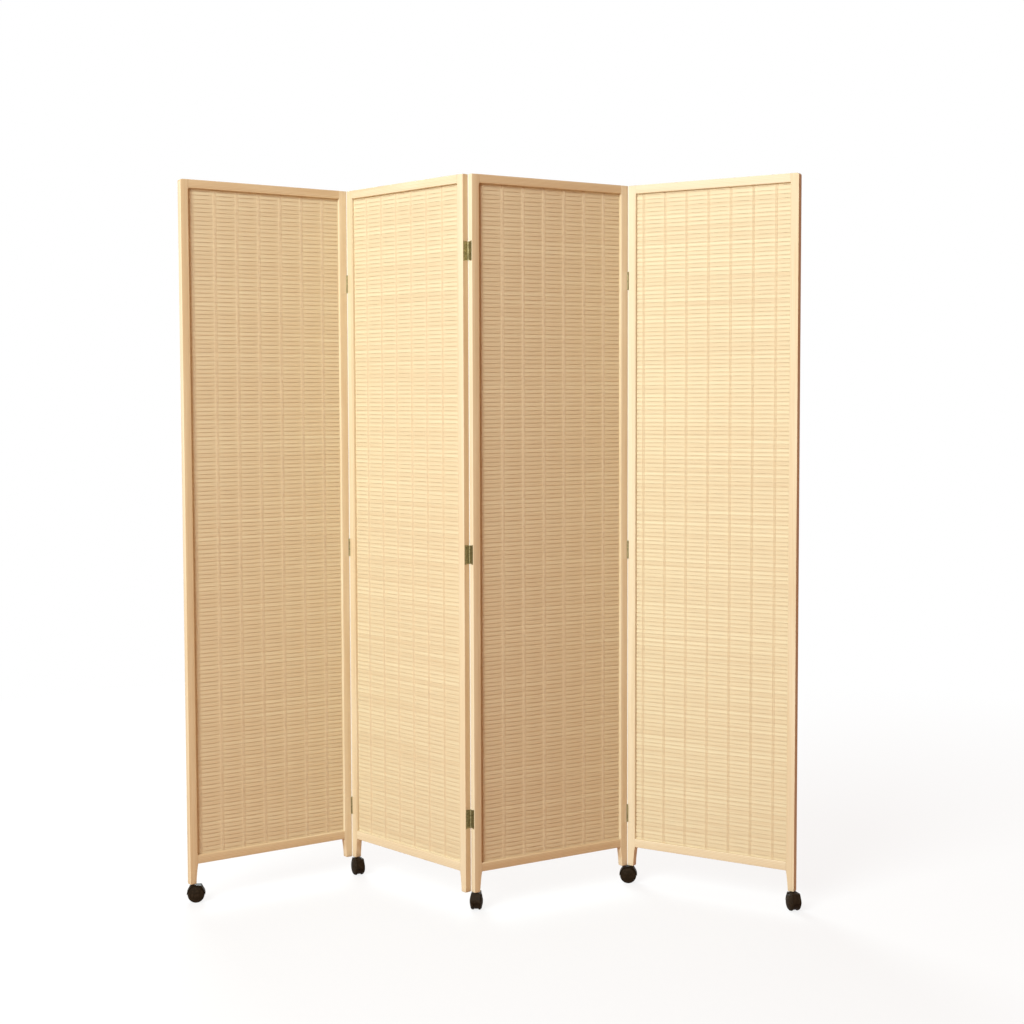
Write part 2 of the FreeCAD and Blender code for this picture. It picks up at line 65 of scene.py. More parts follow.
def new_material(name):
    """An empty node material with its output."""
    material = bpy.data.materials.new(name)
    material.use_nodes = True
    tree = material.node_tree
    tree.nodes.clear()
    output = tree.nodes.new("ShaderNodeOutputMaterial")
    return material, tree, output


def attribute(tree, name, output):
    """A value that the piece's own mesh carries."""
    return add(tree, "ShaderNodeAttribute", attribute_name=name).outputs[output]


def noise(tree, vector, scale, detail=3.0, roughness=0.5, distortion=0.0):
    """A noise value, the same in every direction."""
    made = add(tree, "ShaderNodeTexNoise",
               {"Vector": vector, "Scale": scale, "Detail": detail, "Roughness": roughness,
                "Distortion": distortion})
    return made.outputs["Fac"]


def stretched(tree, vector, scale):
    """Coordinates scaled apart by axis, which draws a pattern out along one of them."""
    made = add(tree, "ShaderNodeVectorMath", {0: vector, 1: scale}, operation="MULTIPLY")
    return made.outputs["Vector"]


def grain(tree, place, scale, **settings):
    """Noise drawn out along the grain, with a scale for each axis of the place."""
    return noise(tree, stretched(tree, place, scale), 1.0, **settings)


def ramp(tree, factor, stops):
    """A colour ramp with the stops given as (place, colour)."""
    made = add(tree, "ShaderNodeValToRGB", {"Fac": factor})
    elements = made.color_ramp.elements
    while len(elements) < len(stops):
        elements.new(1.0)
    for element, (place, colour) in zip(elements, stops):
        element.position = place
        element.color = (*colour, 1.0)
    return made.outputs["Color"]


def spread(tree, value, span, target):
    """A value moved from one span to another, clamped."""
    made = add(tree, "ShaderNodeMapRange",
               {"Value": value, "From Min": span[0], "From Max": span[1],
                "To Min": target[0], "To Max": target[1]})
    return made.outputs["Result"]


def mixed(tree, factor, first, second):
    """Two colours mixed by a factor."""
    made = add(tree, "ShaderNodeMix", data_type="RGBA", blend_type="MIX")
    colours = [socket for socket in made.inputs if socket.type == "RGBA"]
    for socket, value in zip([made.inputs["Factor"], *colours], (factor, first, second)):
        if isinstance(value, bpy.types.NodeSocket):
            tree.links.new(value, socket)
        else:
            socket.default_value = value if isinstance(value, float) else (*value, 1.0)
    return [socket for socket in made.outputs if socket.type == "RGBA"][0]


def maths(tree, operation, first, second):
    """One sum, product or other operation on two values."""
    return add(tree, "ShaderNodeMath", {0: first, 1: second}, operation=operation).outputs["Value"]


def weighted(tree, *parts):
    """The sum of values, each given with its weight."""
    shares = [maths(tree, "MULTIPLY", value, weight) for value, weight in parts]
    total = shares[0]
    for share in shares[1:]:
        total = maths(tree, "ADD", total, share)
    return total


def bumped(tree, height, strength, distance):
    """A normal tilted by a height value."""
    made = add(tree, "ShaderNodeBump", {"Height": height, "Strength": strength, "Distance": distance})
    return made.outputs["Normal"]


def finish_material(tree, output, inputs):
    """Closes a material with a principled shader."""
    shader = add(tree, "ShaderNodeBsdfPrincipled", inputs)
    tree.links.new(shader.outputs["BSDF"], output.inputs["Surface"])


# Materials: scales per metre along, across and through the grain; noise mostly stays in NOISE_SPAN

NOISE_SPAN = (0.3, 0.7)
UNIT_SPAN = (0.0, 1.0)

WOOD_BROAD = (2.2, 55.0, 55.0)
WOOD_FINE = (9.0, 900.0, 900.0)
WOOD_PATCH = (3.0, 9.0, 9.0)
WOOD_RINGS = (1.1, 95.0, 60.0)
WOOD_RING_WAVE = {"Scale": 1.0, "Distortion": 5.0, "Detail": 2.0, "Detail Scale": 0.7}
WOOD_WEIGHTS = {"broad": 0.55, "rings": 0.25, "fine": 0.35, "tone": 0.16}
WOOD_STOPS = (0.30, 0.58, 0.86)
WOOD_PATCH_SHARE = 0.12
WOOD_POLISH = (-0.07, 0.09)
WOOD_BUMP = {"strength": 0.12, "distance": 0.4 * MM}
WOOD_SPECULAR = 0.25

SLAT_FIBRE = (14.0, 1300.0, 300.0)
SLAT_STREAK = (3.5, 160.0, 40.0)
SLAT_CLOUD = (5.0, 2.5, 5.0)
SLAT_WEIGHTS = {"streak": 0.35, "fibre": 0.30, "tone": 0.05, "cloud": 0.12}
SLAT_STOPS = (0.30, 0.55, 0.78)
SLAT_ROUGHNESS = (0.50, 0.68)
SLAT_BUMP = {"strength": 0.15, "distance": 0.3 * MM}
SLAT_SPECULAR = 0.2

METAL_PATCH = 240.0
METAL_SPECK = 1500.0
METAL_STOPS = (0.35, 0.65)
METAL_POLISH = (0.14, -0.06)
METAL_BUMP = {"strength": 0.10, "distance": 0.2 * MM}

PLASTIC_GRAIN = 2600.0
PLASTIC_DUST = 130.0
PLASTIC_STOPS = (0.45, 0.75)
PLASTIC_POLISH = (-0.06, 0.12)
PLASTIC_BUMP = {"strength": 0.25, "distance": 0.3 * MM}
PLASTIC_SPECULAR = 0.06


def around_value(value, changes):
    """A value with each of two changes made to it."""
    return tuple(value + change for change in changes)


def wood_material(name, pale, middle, dark, roughness):
    """Light varnished softwood: the mesh's place has the grain along its first axis."""
    material, tree, output = new_material(name)
    place = attribute(tree, "place", "Vector")
    # The tone attribute carries painted light and shade as well as each piece's own tone: paler on lit
    # faces, darker on shaded ones
    tone = attribute(tree, "tone", "Fac")
    broad = grain(tree, place, WOOD_BROAD, detail=3.0, roughness=0.55, distortion=0.6)
    fine = grain(tree, place, WOOD_FINE, detail=4.0, roughness=0.65)
    patch = grain(tree, place, WOOD_PATCH, detail=2.0)
    rings = add(tree, "ShaderNodeTexWave",
                {"Vector": stretched(tree, place, WOOD_RINGS), **WOOD_RING_WAVE},
                wave_type="BANDS", bands_direction="Y").outputs["Fac"]
    figure = weighted(tree, (broad, WOOD_WEIGHTS["broad"]), (rings, WOOD_WEIGHTS["rings"]),
                      (fine, WOOD_WEIGHTS["fine"]), (tone, WOOD_WEIGHTS["tone"]))
    colour = ramp(tree, figure, tuple(zip(WOOD_STOPS, (dark, middle, pale))))
    shade = maths(tree, "MULTIPLY", spread(tree, patch, NOISE_SPAN, UNIT_SPAN), WOOD_PATCH_SHARE)
    finish_material(tree, output, {
        "Base Color": mixed(tree, shade, colour, dark),
        "Roughness": spread(tree, fine, NOISE_SPAN, around_value(roughness, WOOD_POLISH)),
        "Normal": bumped(tree, fine, **WOOD_BUMP),
        "Specular IOR Level": WOOD_SPECULAR,
    })
    return material


def slat_material(name, pale, middle, dark):
    """Split bamboo or twisted thread: fibres along the strip, and a tone for each strip."""
    material, tree, output = new_material(name)
    place = attribute(tree, "place", "Vector")
    # The tone attribute carries painted light and shade as well as each strip's own tone: set per panel, and
    # darker on the slats' inner faces as painted shade in the gaps
    tone = attribute(tree, "tone", "Fac")
    fibre = grain(tree, place, SLAT_FIBRE, detail=4.0, roughness=0.6)
    streak = grain(tree, place, SLAT_STREAK, detail=2.0)
    cloud = grain(tree, place, SLAT_CLOUD, detail=2.0)
    figure = weighted(tree, (streak, SLAT_WEIGHTS["streak"]), (fibre, SLAT_WEIGHTS["fibre"]),
                      (tone, SLAT_WEIGHTS["tone"]), (cloud, SLAT_WEIGHTS["cloud"]))
    finish_material(tree, output, {
        "Base Color": ramp(tree, figure, tuple(zip(SLAT_STOPS, (dark, middle, pale)))),
        "Roughness": spread(tree, fibre, NOISE_SPAN, SLAT_ROUGHNESS),
        "Normal": bumped(tree, fibre, **SLAT_BUMP),
        "Specular IOR Level": SLAT_SPECULAR,
    })
    return material


def metal_material(name, clean, dull, roughness):
    """Plated metal that has dulled in patches."""
    material, tree, output = new_material(name)
    where = add(tree, "ShaderNodeTexCoord").outputs["Object"]
    patch = noise(tree, where, METAL_PATCH, detail=4.0, roughness=0.6)
    speck = noise(tree, where, METAL_SPECK, detail=2.0)
    finish_material(tree, output, {
        "Base Color": ramp(tree, patch, tuple(zip(METAL_STOPS, (dull, clean)))),
        "Metallic": 1.0,
        "Roughness": spread(tree, patch, NOISE_SPAN, around_value(roughness, METAL_POLISH)),
        "Normal": bumped(tree, speck, **METAL_BUMP),
    })
    return material


def plastic_material(name, base, dusty, roughness):
    """Moulded dark plastic with a fine spark-eroded texture and a little dust."""
    material, tree, output = new_material(name)
    where = add(tree, "ShaderNodeTexCoord").outputs["Object"]
    texture = noise(tree, where, PLASTIC_GRAIN, detail=2.0)
    dust = noise(tree, where, PLASTIC_DUST, detail=4.0, roughness=0.6)
    finish_material(tree, output, {
        "Base Color": ramp(tree, dust, tuple(zip(PLASTIC_STOPS, (base, dusty)))),
        "Roughness": spread(tree, dust, NOISE_SPAN, around_value(roughness, PLASTIC_POLISH)),
        "Normal": bumped(tree, texture, **PLASTIC_BUMP),
        "Specular IOR Level": PLASTIC_SPECULAR,
    })
    return material


WOOD = wood_material("frame_wood", pale=(0.74, 0.64, 0.465), middle=(0.66, 0.525, 0.335),
                     dark=(0.565, 0.405, 0.235), roughness=0.55)
END_GRAIN = wood_material("frame_end_grain", pale=(0.58, 0.43, 0.26), middle=(0.50, 0.35, 0.20),
                          dark=(0.39, 0.25, 0.135), roughness=0.70)
SLAT = slat_material("bamboo_slat", pale=(0.77, 0.69, 0.49), middle=(0.73, 0.64, 0.435),
                     dark=(0.635, 0.51, 0.33))
THREAD = slat_material("band_thread", pale=(0.74, 0.61, 0.43), middle=(0.70, 0.565, 0.385),
                       dark=(0.62, 0.48, 0.31))
BRASS = metal_material("hinge_brass", clean=(0.40, 0.33, 0.17), dull=(0.20, 0.16, 0.08), roughness=0.42)
STEEL = metal_material("caster_steel", clean=(0.16, 0.14, 0.11), dull=(0.07, 0.06, 0.045), roughness=0.45)
HOOD = plastic_material("caster_plastic", base=(0.016, 0.009, 0.004), dusty=(0.032, 0.021, 0.012),
                        roughness=0.50)
WHEEL = plastic_material("wheel_plastic", base=(0.015, 0.009, 0.004), dusty=(0.038, 0.025, 0.015),
                         roughness=0.60)


# Panel frames

def node_points(name):
    """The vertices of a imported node, in the row frame."""
    data = nodes[name].data
    flat = np.empty(len(data.vertices) * 3)
    data.vertices.foreach_get("co", flat)
    return flat.reshape(-1, 3)


class Panel:
    """A panel's own axes and sizes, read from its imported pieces."""

    def __init__(self, number):
        self.number = number
        mat = self.points("mat")
        centre = (mat.min(0) + mat.max(0))[:2] / 2
        flat = mat[:, :2] - centre
        lead = np.linalg.eigh(flat.T @ flat)[1][:, -1]
        self.along = lead * np.sign(lead[0])
        self.back = np.array((-self.along[1], self.along[0]))
        stiles = np.concatenate([self.points("stile_left"), self.points("stile_right")])
        self.foot = stiles[:, 2].min()
        span = (stiles[:, :2] - centre) @ self.along
        self.origin = centre + self.along * span.min()
        self.height = stiles[:, 2].max() - self.foot
        self.thickness = 2 * np.abs((stiles[:, :2] - centre) @ self.back).max()

    def points(self, piece):
        return node_points("panel_%d_%s" % (self.number, piece))

    def local(self, points):
        """(u, v, w) of points in the row frame."""
        flat = points[:, :2] - self.origin
        return np.column_stack((flat @ self.along, flat @ self.back, points[:, 2] - self.foot))

    def box(self, piece):
        """Lowest and highest (u, v, w) of one of the panel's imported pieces."""
        local = self.local(self.points(piece))
        return local.min(0), local.max(0)

    def world(self, local):
        """Row-frame places of points given as (u, v, w)."""
        flat = self.origin + local[:, :1] * self.along + local[:, 1:2] * self.back
        return np.column_stack((flat, local[:, 2] + self.foot))


def mesh_piece(name, places, faces, materials, attributes, smooth_angle, face_materials=None):
    """A mesh object with point attributes, smooth except across edges sharper than an angle in degrees."""
    mesh = bpy.data.meshes.new(name)
    mesh.from_pydata(places.tolist(), [], faces)
    for material in materials:
        mesh.materials.append(material)
    if face_materials is not None:
        mesh.polygons.foreach_set("material_index", np.asarray(face_materials, np.int32))
    for key, values in attributes.items():
        values = np.asarray(values, np.float32)
        if values.ndim == 2:
            mesh.attributes.new(key, "FLOAT_VECTOR", "POINT").data.foreach_set("vector", values.ravel())
        else:
            mesh.attributes.new(key, "FLOAT", "POINT").data.foreach_set("value", values)
    mesh.shade_smooth()
    mesh.set_sharp_from_angle(angle=math.radians(smooth_angle))
    mesh.update()
    piece = bpy.data.objects.new(name, mesh)
    bpy.context.scene.collection.objects.link(piece)
    return piece


def dress(piece, body, slot, *replaced):
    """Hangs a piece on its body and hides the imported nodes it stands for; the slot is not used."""
    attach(piece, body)
    if replaced:
        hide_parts(*replaced)


CAPS = 2


def loft_faces(rings, around):
    """Faces over rings of points laid one after another; the two caps come last."""
    faces = []
    for ring in range(rings - 1):
        for index in range(around):
            after = (index + 1) % around
            faces.append((ring * around + index, ring * around + after,
                          (ring + 1) * around + after, (ring + 1) * around + index))
    faces.append(tuple(range(around - 1, -1, -1)))
    faces.append(tuple(range((rings - 1) * around, rings * around)))
    return faces


# Frame members: a higher tone makes a paler one. The rail and end-face tones are painted light and shade,
# and the stile tones partly so

OUTER_EDGE = 1.0 * MM
INNER_EDGE = 2.4 * MM
BUTT_EDGE = 0.5 * MM
HINGE_EDGE = 0.25 * MM
FREE_ROUND = 6.0 * MM
ROUND_SHARES = (0.45, 0.7, 1.0)
CORNER_STEPS = 4
SECTION_POINTS = 4 * (CORNER_STEPS + 1)
END_ROUND = 1.5 * MM
END_STEPS = 4
EDGE_RUN_OUT = 4.0 * MM
RAIL_SET_BACK = 0.15 * MM
BUTT_GAP = 0.1 * MM
LEG_EASE = 1.5
LEG_SHARES = (0.2, 0.4, 0.6, 0.8, 1.0)
STEM_INSET = 8.0 * MM
KNUCKLE_CLEARANCE = 0.3 * MM
PIN_BREAK = 200.0 * MM
HEIGHT_DIGITS = 6
NOTCH_STEP = 0.05 * MM
END_FACE_REACH = OUTER_EDGE / 4
FRAME_SMOOTH = 40.0
GRAIN_SHIFT = 5.0
# Painted light and shade for each panel's rails: paler on lit panels 2 and 4, darker on shaded panels 1 and
# 3
RAIL_PAINTED_LIGHT_AND_SHADE = {1: -1.0, 2: 0.9, 3: -1.2, 4: 1.2}
RAIL_TONE_SPREAD = 0.3
# Painted light and shade on the stiles' outer end faces: paler on the left ends, which face the key lamp,
# darker on the right ends
END_FACE_PAINTED_LIGHT_AND_SHADE = {"left": 1.2, "right": -0.2}
# Each stile's tone: partly its own wood, partly painted light and shade for how lit its faces are
STILE_TONE_AND_PAINTED_LIGHT = {"left": {1: -0.9, 2: -0.3, 3: -0.5, 4: 0.9}, "right": {1: 0.1, 2: 1.0, 3: 0.5, 4: 0.5}}


def rounded_section(low, high, radii):
    """A rectangle's outline, counter-clockwise from its lower left corner, with a radius for each corner."""
    corners = ((low[0], low[1]), (high[0], low[1]), (high[0], high[1]), (low[0], high[1]))
    inward = ((1, 1), (-1, 1), (-1, -1), (1, -1))
    outline = []
    for index, (corner, turn, radius) in enumerate(zip(corners, inward, radii)):
        centre = (corner[0] + turn[0] * radius, corner[1] + turn[1] * radius)
        start = math.pi + index * math.pi / 2
        for step in range(CORNER_STEPS + 1):
            angle = start + step / CORNER_STEPS * math.pi / 2
            outline.append((centre[0] + radius * math.cos(angle), centre[1] + radius * math.sin(angle)))
    return outline


def hinge_room(panel, side):
    """The notch for a stile's hinge knuckles: its inner corner (u, v) and its height spans, or None."""
    pair = (panel.number, panel.number + 1) if side == "right" else (panel.number - 1, panel.number)
    name = "hinge_%d_%d_pins" % pair
    if name not in nodes:
        return None
    pins = panel.local(node_points(name))
    low, high = pins.min(0), pins.max(0)
    middle = (low + high) / 2
    room = (high[0] - low[0]) / 2 + KNUCKLE_CLEARANCE
    inwards = 1 if side == "left" else -1
    corner = (middle[0] + inwards * room, middle[1] - math.copysign(room, middle[1]))
    heights = np.unique(pins[:, 2].round(HEIGHT_DIGITS))
    runs = np.split(heights, np.flatnonzero(np.diff(heights) > PIN_BREAK) + 1)
    spans = [(run[0] - KNUCKLE_CLEARANCE, run[-1] + KNUCKLE_CLEARANCE) for run in runs]
    return corner, spans


def notched(outline, low, high, corner):
    """A rounded section with the corner nearest to a notch cut back to the notch's inner corner."""
    right, back = corner[0] > (low[0] + high[0]) / 2, corner[1] > 0
    index = (2 if right else 3) if back else (1 if right else 0)
    side = (high[0] if right else low[0], corner[1])
    face = (corner[0], high[1] if back else low[1])
    path = [side, corner, face] if index in (0, 2) else [face, corner, side]
    steps = CORNER_STEPS // 2
    points = []
    for start, stop in zip(path, path[1:]):
        for step in range(steps):
            share = step / steps
            points.append((start[0] + (stop[0] - start[0]) * share,
                           start[1] + (stop[1] - start[1]) * share))
    points.append(path[-1])
    first = index * (CORNER_STEPS + 1)
    return outline[:first] + points + outline[first + CORNER_STEPS + 1:]


def corner_inset(rise, radius):
    """How far a rounded corner stands back at a height above the start of its arc."""
    rise = min(max(rise, 0.0), radius)
    return radius - math.sqrt(radius ** 2 - rise ** 2)


def stile_levels(panel, leg, edges, spans):
    """Heights of a stile's sections, each with its rounded end's inset and whether a notch cuts it back."""
    turns = [math.pi / 2 * step / END_STEPS for step in range(END_STEPS + 1)]
    ends = [(END_ROUND * (1 - math.cos(turn)), END_ROUND * (1 - math.sin(turn))) for turn in turns]
    levels = [(rise, inset, False) for rise, inset in ends]
    levels += [(panel.height - rise, inset, False) for rise, inset in ends]
    plain = [leg * share for share in LEG_SHARES]
    plain += edges
    plain += [panel.height - FREE_ROUND * share for share in ROUND_SHARES]
    plain += [start - NOTCH_STEP for start, _ in spans]
    plain += [stop + NOTCH_STEP for _, stop in spans]
    levels += [(level, 0.0, False) for level in plain]
    levels += [(level, 0.0, True) for span in spans for level in span]
    return sorted(levels)


def grain_place(local, axes):
    """Where a member's points lie in its own piece of wood, with the axis along its grain first."""
    return local[:, axes] + rng.uniform(0, GRAIN_SHIFT, 3)


def wood_piece(panel, node, local, place, tone):
    """A frame member from its sections' points, with end grain on its caps."""
    faces = loft_faces(len(local) // SECTION_POINTS, SECTION_POINTS)
    face_materials = [0] * (len(faces) - CAPS) + [1] * CAPS
    body = "panel_%d" % panel.number
    replaced = "%s_%s" % (body, node)
    piece = mesh_piece(replaced + "_wood", panel.world(local), faces, (WOOD, END_GRAIN),
                       {"place": place, "tone": tone}, FRAME_SMOOTH, face_materials)
    dress(piece, body, "frame_wood", replaced)


def stile_piece(panel, side):
    """A stile with rounded edges, knuckle notches and a leg that tapers on the inner side."""
    node = "stile_%s" % side
    low, high = panel.box(node)
    half = panel.thickness / 2
    rail_low, rail_high = panel.box("rail_bottom")
    leg = rail_low[2]
    opening = (rail_high[2] + EDGE_RUN_OUT, panel.box("rail_top")[0][2] - EDGE_RUN_OUT)
    edges = [rail_high[2], *opening, opening[1] + EDGE_RUN_OUT]
    foot_width = 2 * STEM_INSET
    full_width = high[0] - low[0]
    left = side == "left"
    room = hinge_room(panel, side)
    notch_depth = room[0][1] if room else 0.0
    front_edge = HINGE_EDGE if notch_depth < 0 else OUTER_EDGE
    rear_edge = HINGE_EDGE if notch_depth > 0 else OUTER_EDGE

    local = []
    for level, inset, cut_back in stile_levels(panel, leg, edges, room[1] if room else ()):
        width = foot_width + (full_width - foot_width) * min(level / leg, 1.0) ** LEG_EASE
        inner_edge = INNER_EDGE if opening[0] <= level <= opening[1] else BUTT_EDGE
        if level < leg:
            inner_edge = OUTER_EDGE
        free = 0.0 if room else corner_inset(level - (panel.height - FREE_ROUND), FREE_ROUND)
        start, stop = (low[0] + free, low[0] + width) if left else (high[0] - width, high[0] - free)
        inner, front, rear = inner_edge + inset, front_edge + inset, rear_edge + inset
        radii = (front, inner, inner, rear) if left else (inner, front, rear, inner)
        near, far = (start + inset, inset - half), (stop - inset, half - inset)
        outline = rounded_section(near, far, radii)
        if cut_back:
            outline = notched(outline, near, far, room[0])
        local += [(u, v, level) for u, v in outline]
    local = np.array(local)
    place = grain_place(local, (2, 0, 1))
    # Painted light and shade: the end faces get their side's painted tone, the other faces the stile's tone,
    # which is partly painted light
    end_face = np.abs(local[:, 0] - (low[0] if left else high[0])) < END_FACE_REACH
    tone = np.where(end_face, END_FACE_PAINTED_LIGHT_AND_SHADE[side], STILE_TONE_AND_PAINTED_LIGHT[side][panel.number])
    wood_piece(panel, node, local, place, tone)


def rail_piece(panel, end):
    """A rail between the stiles, with the edge towards the mat eased."""
    node = "rail_%s" % end
    low, high = panel.box(node)
    half = panel.thickness / 2 - RAIL_SET_BACK
    start = panel.box("stile_left")[1][0] + BUTT_GAP
    stop = panel.box("stile_right")[0][0] - BUTT_GAP
    radii = (OUTER_EDGE, OUTER_EDGE, INNER_EDGE, INNER_EDGE)
    if end == "top":
        radii = radii[2:] + radii[:2]
    outline = rounded_section((-half, low[2]), (half, high[2]), radii)
    local = np.array([(u, v, w) for u in (start, stop) for v, w in outline])
    place = grain_place(local, (0, 2, 1))
    # The rail's tone is painted light and shade for its panel, with a little random spread
    tone = RAIL_PAINTED_LIGHT_AND_SHADE[panel.number] + rng.uniform(-RAIL_TONE_SPREAD, RAIL_TONE_SPREAD)
    wood_piece(panel, node, local, place, np.full(len(local), tone))


# Slat mats: two layers of slats, half a pitch apart, bound by bands of thread on both faces

# Painted light and shade for each panel's mat: paler on lit panel 4, darker on shaded panels 1 and 3
MAT_PAINTED_LIGHT_AND_SHADE = {1: -1.0, 2: 0.0, 3: -1.2, 4: 1.2}
# Painted shade on the slats' inner faces, which show through the gaps between the other layer's slats
INNER_PAINTED_SHADE = -3.5
STRIP_TONE_SPREAD = 1.0
FIBRE_SHIFT = 20.0
WAVE_START = (0, 6.3)

SLAT_COUNT = 160
SLAT_SHARE = 0.70
SLAT_WIDTHS = (0.95, 1.05)
SLAT_THICKNESS = 0.65 * MM
SLAT_EDGE = 0.25 * MM
SLAT_RISE = 0.14 * MM
SLAT_TILT = 0.10 * MM
SLAT_WAVE = 0.12 * MM
SLAT_WAVE_MILLIMETRES = (30, 60)
SLAT_DEPTH = 0.02 * MM
SLAT_SMOOTH = 20.0
SLAT_STATIONS = tuple(step * MM for step in (-16.0, -11.0, -6.0, 6.0, 11.0, 16.0))

PINCHED = 0.12 * MM
BULGED = 0.58 * MM
PINCH_START = 6.0 * MM
PINCH_END = 16.0 * MM
BAND_PITCH = 59.0 * MM
FIRST_BAND = {1: 32.5 * MM, 2: 14.0 * MM, 3: 30.0 * MM, 4: 39.5 * MM}

THREADS = 4
THREAD_SPACING = 1.9 * MM
THREAD_RADIUS = 0.45 * MM
THREAD_SWAY = 0.25 * MM
THREAD_WAVE = (0.05, 0.12)
THREAD_DEPTH = 0.03 * MM
THREAD_SMOOTH = 80.0
THREAD_SECTION = ((-1.0, -0.5), (0.0, 1.0), (1.0, -0.5))
# A thread's course over a slat and the gap above it: pitches from the slat's middle, and dips into the mat
THREAD_COURSE = (-0.28, 0.28, 0.5)
THREAD_DIPS = (0.0, 0.0, 0.25 * MM)

# The front and the back layer: side, number of slats, first slat's middle in pitches from the mat's foot
LAYERS = ((-1, SLAT_COUNT, 0.5), (1, SLAT_COUNT - 1, 1.0))


class Pile:
    """Like strips gathered into one mesh, each strip a run of rings in the panel frame."""

    def __init__(self):
        self.points = []
        self.places = []
        self.tones = []
        self.faces = []
        self.count = 0

    def add(self, rings, axes, tones):
        """One more strip, with the panel axes that its grain follows first, and a tone for each corner."""
        run, around, _ = rings.shape
        points = rings.reshape(-1, 3)
        self.points.append(points)
        self.places.append(points[:, axes] + rng.uniform(0, FIBRE_SHIFT, 3))
        own = rng.uniform(-STRIP_TONE_SPREAD, STRIP_TONE_SPREAD)
        self.tones.append(np.tile(np.add(tones, own), run))
        for face in loft_faces(run, around):
            self.faces.append(tuple(self.count + corner for corner in face))
        self.count += len(points)

    def piece(self, name, panel, material, smooth_angle):
        """The gathered strips as one mesh object."""
        attributes = {"place": np.concatenate(self.places), "tone": np.concatenate(self.tones)}
        places = panel.world(np.concatenate(self.points))
        return mesh_piece(name, places, self.faces, (material,), attributes, smooth_angle)


def band_places(panel, stop):
    """Distances of the mat's bands from the panel's left end."""
    first = FIRST_BAND[panel.number]
    count = int((stop - first) / BAND_PITCH) + 1
    return [first + BAND_PITCH * index for index in range(count) if first + BAND_PITCH * index < stop]


def layer_offset(u, bands):
    """How far a slat layer stands off the mat's middle, small at the bands."""
    away = np.abs(u[:, None] - np.array(bands)[None, :]).min(1)
    share = np.clip((away - PINCH_START) / (PINCH_END - PINCH_START), 0, 1)
    share = share * share * (3 - 2 * share)
    return PINCHED + (BULGED - PINCHED) * share


def strip_rings(section, side):
    """A section's corners in the order that turns the strip's faces outwards on either side of the mat."""
    return section if side < 0 else section[::-1]


def slat_pile(low, high, bands, pitch, tone):
    """Both layers of slats, each slat a little off its place and bent inwards at the bands."""
    stations = {low[0], high[0]}
    for band in (bands[0] - BAND_PITCH, *bands, bands[-1] + BAND_PITCH):
        stations.update(band + step for step in SLAT_STATIONS)
    along = np.array(sorted(u for u in stations if low[0] <= u <= high[0]))
    offset = layer_offset(along, bands)
    thick = SLAT_THICKNESS / 2
    slats = Pile()
    for side, rows, shift in LAYERS:
        for row in range(rows):
            middle = low[2] + pitch * (row + shift)
            half = pitch * SLAT_SHARE / 2 * rng.uniform(*SLAT_WIDTHS)
            sway = rng.normal(0, SLAT_RISE) + rng.normal(0, SLAT_TILT) * np.linspace(-1, 1, len(along))
            phase = along / MM / rng.uniform(*SLAT_WAVE_MILLIMETRES) + rng.uniform(*WAVE_START)
            sway = sway + SLAT_WAVE * np.sin(phase)
            depth = offset + rng.normal(0, SLAT_DEPTH)
            section = ((-half, 0.0), (SLAT_EDGE - half, thick), (half - SLAT_EDGE, thick),
                       (half, 0.0), (half - SLAT_EDGE, -thick), (SLAT_EDGE - half, -thick))
            section = strip_rings(section, side)
            # Painted shade: the inner faces, seen through the gaps between the other layer's slats, are
            # painted darker
            tones = [tone if out >= 0 else tone + INNER_PAINTED_SHADE for _, out in section]
            rings = np.empty((len(along), len(section), 3))
            for index, (rise, out) in enumerate(section):
                rings[:, index, 0] = along
                rings[:, index, 1] = side * (depth + out)
                rings[:, index, 2] = middle + sway + rise
            slats.add(rings, (0, 2, 1), tones)
    return slats


def thread_pile(low, high, bands, pitch, tone):
    """The bands' threads on both faces, each over the slats and dipping between them."""
    over = PINCHED + SLAT_THICKNESS / 2 + THREAD_RADIUS / 2
    threads = Pile()
    for side, _, shift in LAYERS:
        middles = shift + np.arange(SLAT_COUNT)
        levels = low[2] + pitch * (middles[:, None] + np.array(THREAD_COURSE)).ravel()
        dips = np.tile(THREAD_DIPS, SLAT_COUNT)[levels <= high[2]]
        levels = levels[levels <= high[2]]
        for band in bands:
            for thread in range(THREADS):
                across = band + (thread - (THREADS - 1) / 2) * THREAD_SPACING
                sway = THREAD_SWAY * np.sin(levels / rng.uniform(*THREAD_WAVE) + rng.uniform(*WAVE_START))
                out = over - dips + rng.normal(0, THREAD_DEPTH, len(levels))
                rings = np.empty((len(levels), len(THREAD_SECTION), 3))
                for index, (beside, above) in enumerate(strip_rings(THREAD_SECTION, -side)):
                    rings[:, index, 0] = across + sway + beside * THREAD_RADIUS
                    rings[:, index, 1] = side * (out + above * THREAD_RADIUS)
                    rings[:, index, 2] = levels
                threads.add(rings, (2, 0, 1), [tone] * len(THREAD_SECTION))
    return threads


def mat_pieces(panel):
    """The slats of one panel's mat as one piece and its binding threads as another."""
    low, high = panel.box("mat")
    bands = band_places(panel, high[0])
    pitch = (high[2] - low[2]) / SLAT_COUNT
    body = "panel_%d" % panel.number
    # The panel's tone is painted light and shade, paler on lit panel 4 and darker on shaded panels 1 and 3;
    # the threads share it
    tone = MAT_PAINTED_LIGHT_AND_SHADE[panel.number]
    slats = slat_pile(low, high, bands, pitch, tone)
    dress(slats.piece(body + "_slats", panel, SLAT, SLAT_SMOOTH), body, "bamboo_mat", body + "_mat")
    threads = thread_pile(low, high, bands, pitch, tone)
    dress(threads.piece(body + "_bands", panel, THREAD, THREAD_SMOOTH), body, "bamboo_mat")


for number in PANELS:
    panel = Panel(number)
    for side in ("left", "right"):
        stile_piece(panel, side)
    for end in ("bottom", "top"):
        rail_piece(panel, end)
    mat_pieces(panel)


